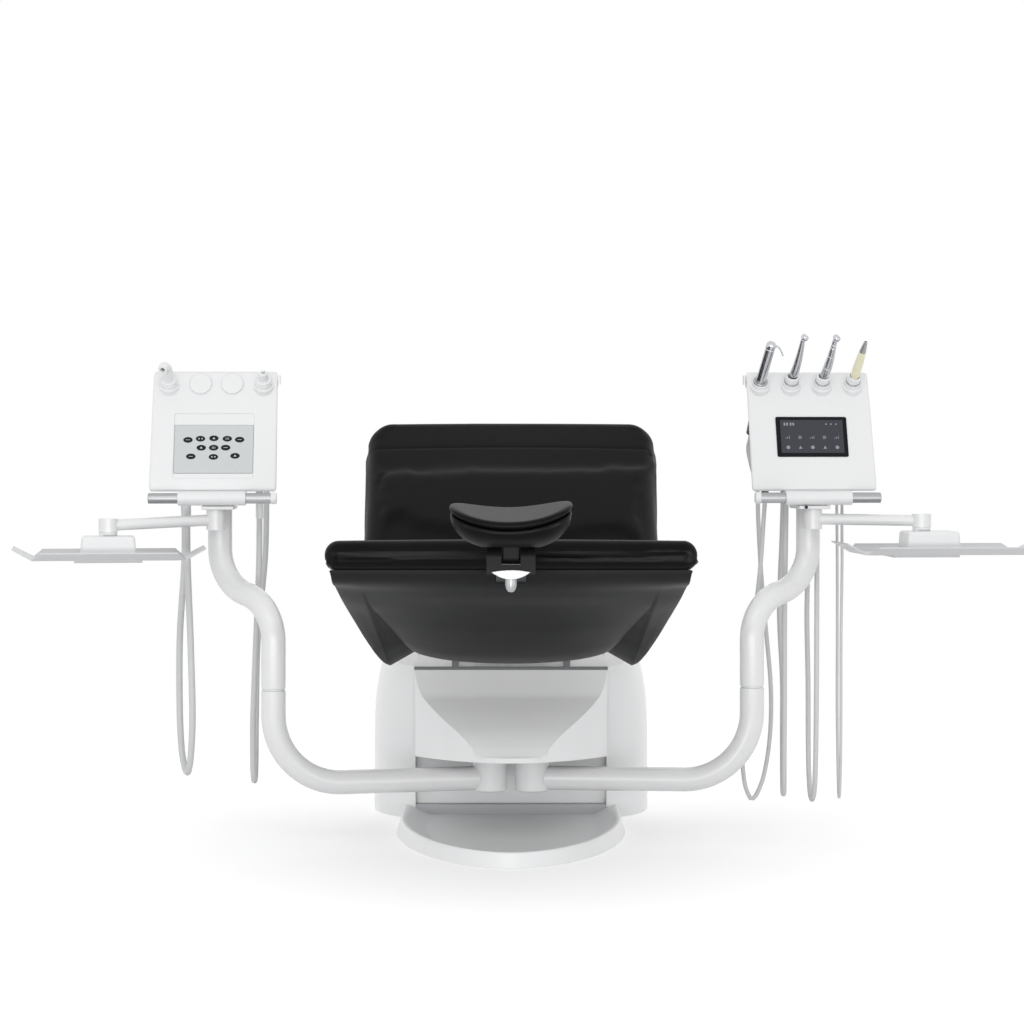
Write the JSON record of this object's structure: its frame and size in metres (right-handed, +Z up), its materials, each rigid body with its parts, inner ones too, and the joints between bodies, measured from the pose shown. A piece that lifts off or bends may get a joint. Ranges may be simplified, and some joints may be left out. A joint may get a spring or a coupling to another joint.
{
  "type": "dental treatment unit",
  "caption": "Dental treatment unit: reclined patient chair on a lifting base, with jointed swing arms carrying an instrument console and tray on each side, instruments and hanging hoses.",
  "frame": {"origin": "on the floor under the base plate, midway between the vertical axes of the two arm hubs", "axes": "+X to the viewer's right when facing the head end, +Y from the head end to the foot end, +Z up"},
  "size_m": [2.0603, 1.965, 1.0209],
  "materials": {
    "white_shell": "satin white moulding",
    "white_paint": "gloss white powder coat",
    "white_plastic": "satin white",
    "frame_steel": "satin light grey",
    "dark_steel": "satin black",
    "black_leather": "smooth semi-gloss upholstery",
    "black_plastic": "satin black moulding",
    "bright_steel": "polished",
    "satin_metal": "satin anodised",
    "tray_metal": "pale satin coated sheet",
    "grey_foil": "grey membrane",
    "display_glass": "dark glass",
    "cream_plastic": "cream",
    "grey_rubber": "matt",
    "grey_hose": "smooth pale grey"
  },
  "bodies": {
    "base": {"base_plate": "white_shell", "base_frame": "frame_steel", "rear_housing": "white_shell", "front_apron": "white_shell", "arm_bracket": "dark_steel", "recess_panel": "white_shell", "back_buffer_left": "grey_rubber", "back_buffer_right": "grey_rubber", "lift_tube_outer": "frame_steel"},
    "lift_middle": {"lift_tube_middle": "frame_steel"},
    "lift_inner": {"lift_tube_inner": "frame_steel"},
    "seat": {"seat_cushion": "black_leather", "seat_shell": "black_plastic", "seat_frame": "dark_steel", "hip_axle": "bright_steel", "knee_axle": "bright_steel"},
    "backrest": {"back_cushion": "black_leather", "back_shell": "black_plastic"},
    "leg_rest": {"leg_cushion": "black_leather", "leg_shell": "black_plastic"},
    "headrest_slider": {"headrest_bar": "dark_steel", "headrest_crescent": "satin_metal"},
    "headrest": {"headrest_pad": "black_leather", "headrest_shell": "black_plastic"},
    "clamp_knob": {"headrest_knob": "satin_metal"},
    "lower_arm_left": {"lower_arm_left": "white_paint"},
    "upper_arm_left": {"upper_arm_left": "white_paint"},
    "console_left": {"console_body_left": "white_shell", "console_swivel_left": "white_plastic", "handle_bar_left": "satin_metal", "bar_clamp_left": "white_shell", "keypad": "grey_foil", "blank_cap_1": "white_shell", "blank_cap_2": "white_shell", "suction_nozzle": "white_plastic", "ejector_nozzle": "white_plastic", "suction_hose": "grey_hose", "ejector_hose": "grey_hose"},
    "tray_arm_left": {"tray_arm_left": "white_paint"},
    "tray_left": {"tray_block_left": "white_plastic", "tray_left": "tray_metal"},
    "lower_arm_right": {"lower_arm_right": "white_paint"},
    "upper_arm_right": {"upper_arm_right": "white_paint"},
    "console_right": {"console_body_right": "white_shell", "console_swivel_right": "white_plastic", "handle_bar_right": "satin_metal", "bar_clamp_right": "white_shell", "display": "display_glass", "syringe": "bright_steel", "turbine_handpiece": "bright_steel", "angle_handpiece": "bright_steel", "scaler_handpiece": "cream_plastic", "syringe_hose": "grey_hose", "turbine_hose": "grey_hose", "angle_hose": "grey_hose", "scaler_hose": "grey_hose"},
    "tray_arm_right": {"tray_arm_right": "white_paint"},
    "tray_right": {"tray_block_right": "white_plastic", "tray_right": "tray_metal"}
  },
  "joints": [
    {"name": "lift_lower_stage", "type": "slide", "parent": "base", "child": "lift_middle", "axis": [0, 0, 1], "range_m": [0, 0.18]},
    {"name": "lift_upper_stage", "type": "slide", "parent": "lift_middle", "child": "lift_inner", "axis": [0, 0, 1], "range_m": [0, 0.18]},
    {"name": "seat_tilt", "type": "hinge", "parent": "lift_inner", "child": "seat", "pos_m": [0, 0.495, 0.44], "axis": [-1, 0, 0], "range_deg": [0, 20]},
    {"name": "backrest_recline", "type": "hinge", "parent": "seat", "child": "backrest", "pos_m": [0, -0.104, 0.488], "axis": [-1, 0, 0], "range_deg": [0, 40]},
    {"name": "leg_rest_swing", "type": "hinge", "parent": "seat", "child": "leg_rest", "pos_m": [0, 0.424, 0.775], "axis": [-1, 0, 0], "range_deg": [-6, 45]},
    {"name": "headrest_extend", "type": "slide", "parent": "backrest", "child": "headrest_slider", "axis": [0, -0.9878, 0.156], "range_m": [-0.04, 0.09]},
    {"name": "headrest_tilt", "type": "hinge", "parent": "headrest_slider", "child": "headrest", "pos_m": [0, -0.97, 0.612], "axis": [1, 0, 0], "range_deg": [-30, 30]},
    {"name": "clamp_knob_turn", "type": "hinge", "parent": "headrest_slider", "child": "clamp_knob", "pos_m": [0, -0.9772, 0.57], "axis": [0, 0, 1], "range_deg": [-120, 120]},
    {"name": "arm_swing_left", "type": "hinge", "parent": "base", "child": "lower_arm_left", "pos_m": [-0.042, 0, 0.15], "axis": [0, 0, 1], "range_deg": [-10, 25]},
    {"name": "upper_arm_turn_left", "type": "hinge", "parent": "lower_arm_left", "child": "upper_arm_left", "pos_m": [-0.4703, -0.1132, 0.313], "axis": [0, 0, 1], "range_deg": [-12, 35]},
    {"name": "console_turn_left", "type": "hinge", "parent": "upper_arm_left", "child": "console_left", "pos_m": [-0.5841, -0.0305, 0.68], "axis": [0, 0, 1], "range_deg": [-25, 40]},
    {"name": "tray_arm_swing_left", "type": "hinge", "parent": "console_left", "child": "tray_arm_left", "pos_m": [-0.5876, -0.0806, 0.6497], "axis": [0, 0, 1], "range_deg": [-2, 50]},
    {"name": "tray_turn_left", "type": "hinge", "parent": "tray_arm_left", "child": "tray_left", "pos_m": [-0.7915, -0.1548, 0.62], "axis": [0, 0, 1], "range_deg": [-45, 45]},
    {"name": "arm_swing_right", "type": "hinge", "parent": "base", "child": "lower_arm_right", "pos_m": [0.042, 0, 0.15], "axis": [0, 0, -1], "range_deg": [-10, 25]},
    {"name": "upper_arm_turn_right", "type": "hinge", "parent": "lower_arm_right", "child": "upper_arm_right", "pos_m": [0.4826, -0.0463, 0.313], "axis": [0, 0, -1], "range_deg": [-12, 35]},
    {"name": "console_turn_right", "type": "hinge", "parent": "upper_arm_right", "child": "console_right", "pos_m": [0.6025, 0.0272, 0.68], "axis": [0, 0, -1], "range_deg": [-25, 40]},
    {"name": "tray_arm_swing_right", "type": "hinge", "parent": "console_right", "child": "tray_arm_right", "pos_m": [0.6065, -0.0226, 0.6497], "axis": [0, 0, -1], "range_deg": [-2, 50]},
    {"name": "tray_turn_right", "type": "hinge", "parent": "tray_arm_right", "child": "tray_right", "pos_m": [0.8202, -0.0603, 0.62], "axis": [0, 0, -1], "range_deg": [-45, 45]}
  ],
  "couplings": [
    {"joint": "lift_upper_stage", "follows": "lift_lower_stage", "ratio": 1}
  ]
}
